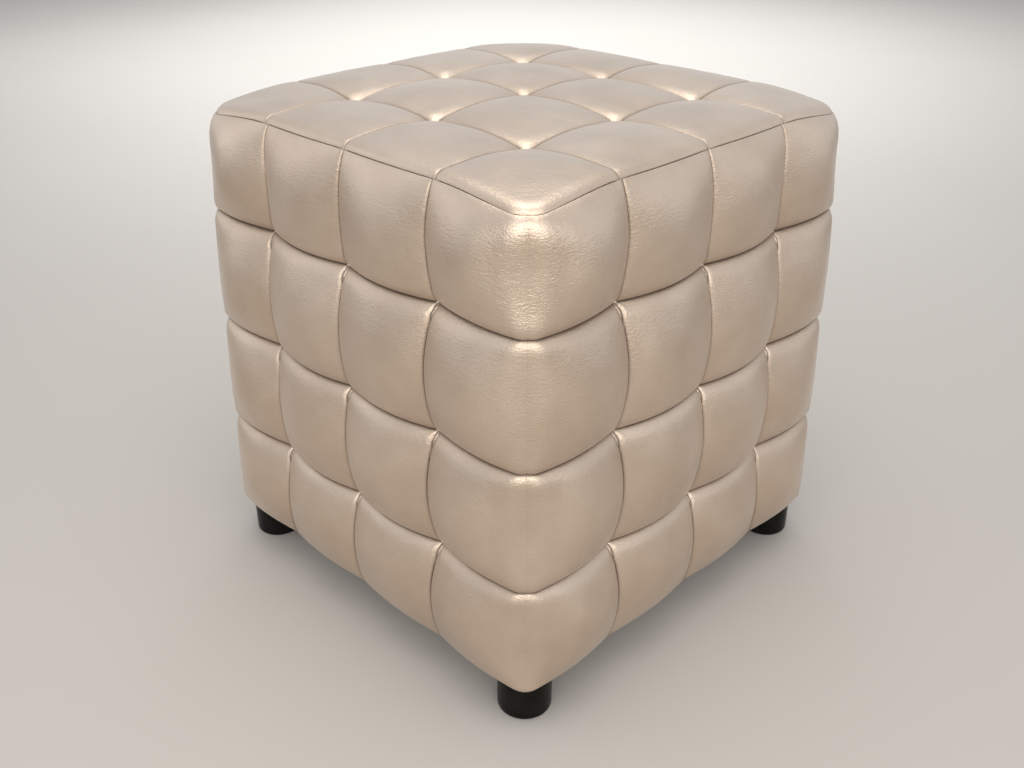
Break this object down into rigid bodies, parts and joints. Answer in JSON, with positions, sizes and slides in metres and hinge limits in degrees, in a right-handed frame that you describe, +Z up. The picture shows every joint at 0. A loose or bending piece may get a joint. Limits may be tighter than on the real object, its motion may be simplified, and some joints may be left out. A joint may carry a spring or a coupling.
{
  "type": "tufted cube ottoman",
  "caption": "Cube-shaped padded ottoman with a tufted leatherette cover, a wooden box inside and short round feet.",
  "frame": {"origin": "on the floor, under the middle of the ottoman", "axes": "+Z up, front towards -Y, right side towards +X; the four sides are alike"},
  "size_m": [0.4336, 0.4336, 0.4431],
  "materials": {
    "leatherette": "metallic champagne leatherette with a fine grain and a soft pearl sheen",
    "welt_leatherette": "the same leatherette, wrapped round a thin cord",
    "wadding": "white polyester wadding",
    "foam": "open-cell polyurethane foam",
    "twine": "twisted tufting twine",
    "plywood": "raw plywood",
    "pine": "planed softwood",
    "black_plastic": "moulded black plastic, satin",
    "steel": "zinc-plated steel",
    "dust_cloth": "black non-woven dust cloth"
  },
  "bodies": {
    "root": {"top_cover": "leatherette", "front_cover": "leatherette", "back_cover": "leatherette", "left_cover": "leatherette", "right_cover": "leatherette", "top_welt": "welt_leatherette", "top_wadding": "wadding", "front_wadding": "wadding", "back_wadding": "wadding", "left_wadding": "wadding", "right_wadding": "wadding", "top_foam": "foam", "front_foam": "foam", "back_foam": "foam", "left_foam": "foam", "right_foam": "foam", "top_tufting_twine": "twine", "front_tufting_twine": "twine", "back_tufting_twine": "twine", "left_tufting_twine": "twine", "right_tufting_twine": "twine", "top_board": "plywood", "base_board": "plywood", "front_board": "plywood", "back_board": "plywood", "left_board": "plywood", "right_board": "plywood", "corner_post_front_left": "pine", "corner_post_front_right": "pine", "corner_post_back_left": "pine", "corner_post_back_right": "pine", "foot_front_left": "black_plastic", "foot_front_right": "black_plastic", "foot_back_left": "black_plastic", "foot_back_right": "black_plastic", "foot_insert_front_left": "steel", "foot_insert_front_right": "steel", "foot_insert_back_left": "steel", "foot_insert_back_right": "steel", "hanger_bolt_front_left": "steel", "hanger_bolt_front_right": "steel", "hanger_bolt_back_left": "steel", "hanger_bolt_back_right": "steel", "top_screw_front_left": "steel", "top_screw_front_right": "steel", "top_screw_back_left": "steel", "top_screw_back_right": "steel", "base_screw_front": "steel", "base_screw_back": "steel", "base_screw_left": "steel", "base_screw_right": "steel", "dust_cover": "dust_cloth"}
  },
  "joints": []
}
